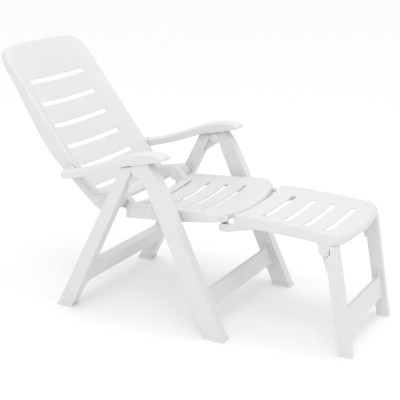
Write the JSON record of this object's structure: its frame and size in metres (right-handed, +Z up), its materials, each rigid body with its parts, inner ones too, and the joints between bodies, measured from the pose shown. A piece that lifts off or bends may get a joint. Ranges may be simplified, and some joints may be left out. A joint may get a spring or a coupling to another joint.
{
  "type": "reclining sun lounger",
  "caption": "Folding white plastic armchair lounger with a dished slatted back and seat on pinned A-shaped leg frames, and a hook-on slatted footrest on folding legs.",
  "frame": {"origin": "centre of the bounding box at ground level", "axes": "+X towards the footrest, +Y towards the sitter's left, +Z up"},
  "size_m": [1.3667, 0.6, 0.912],
  "materials": {
    "frame_resin": "semi-matte moulded polypropylene",
    "panel_resin": "semi-matte moulded polypropylene with a fine grain",
    "foot_resin": "semi-matte moulded polypropylene",
    "pin_resin": "satin moulded nylon"
  },
  "bodies": {
    "rear_frame": {"rear_leg_frame": "frame_resin", "rear_foot_cap_left": "foot_resin", "rear_foot_cap_right": "foot_resin", "apex_pin_left": "pin_resin", "apex_pin_right": "pin_resin", "back_hinge_pin_left": "pin_resin", "back_hinge_pin_right": "pin_resin"},
    "front_frame": {"front_leg_frame": "frame_resin", "front_foot_cap_left": "foot_resin", "front_foot_cap_right": "foot_resin", "seat_peg_left": "pin_resin", "seat_peg_right": "pin_resin"},
    "seat": {"seat_shell": "panel_resin", "footrest_hook_bar_left": "pin_resin", "footrest_hook_bar_right": "pin_resin"},
    "backrest": {"backrest_shell": "panel_resin"},
    "armrest_left": {"armrest_left": "frame_resin", "armrest_pin_left": "pin_resin"},
    "armrest_right": {"armrest_right": "frame_resin", "armrest_pin_right": "pin_resin"},
    "footrest": {"footrest_panel": "panel_resin", "footrest_leg_pin_left": "pin_resin", "footrest_leg_pin_right": "pin_resin"},
    "footrest_legs": {"footrest_leg_frame": "frame_resin"}
  },
  "joints": [
    {"name": "leg_fold", "type": "hinge", "parent": "rear_frame", "child": "front_frame", "pos_m": [-0.0566, 0, 0.558], "axis": [0, 1, 0], "range_deg": [0, 50]},
    {"name": "seat_lift", "type": "hinge", "parent": "rear_frame", "child": "seat", "pos_m": [-0.1886, 0, 0.413], "axis": [0, -1, 0], "range_deg": [0, 57.5]},
    {"name": "recline", "type": "hinge", "parent": "rear_frame", "child": "backrest", "pos_m": [-0.1886, 0, 0.413], "axis": [0, 1, 0], "range_deg": [0, 66]},
    {"name": "armrest_turn_left", "type": "hinge", "parent": "backrest", "child": "armrest_left", "pos_m": [-0.3646, 0.24, 0.508], "axis": [0, -1, 0], "range_deg": [0, 41.59]},
    {"name": "armrest_turn_right", "type": "hinge", "parent": "backrest", "child": "armrest_right", "pos_m": [-0.3646, -0.24, 0.508], "axis": [0, -1, 0], "range_deg": [0, 41.59]},
    {"name": "footrest_tilt", "type": "hinge", "parent": "seat", "child": "footrest", "pos_m": [0.2134, 0, 0.371], "axis": [0, -1, 0], "range_deg": [0, 8]},
    {"name": "footrest_leg_fold", "type": "hinge", "parent": "footrest", "child": "footrest_legs", "pos_m": [0.5734, 0, 0.352], "axis": [0, 1, 0], "range_deg": [0, 97]}
  ],
  "couplings": [
    {"joint": "seat_lift", "follows": "leg_fold", "ratio": 1.15},
    {"joint": "armrest_turn_left", "follows": "recline", "ratio": 0.63},
    {"joint": "armrest_turn_right", "follows": "recline", "ratio": 0.63}
  ]
}
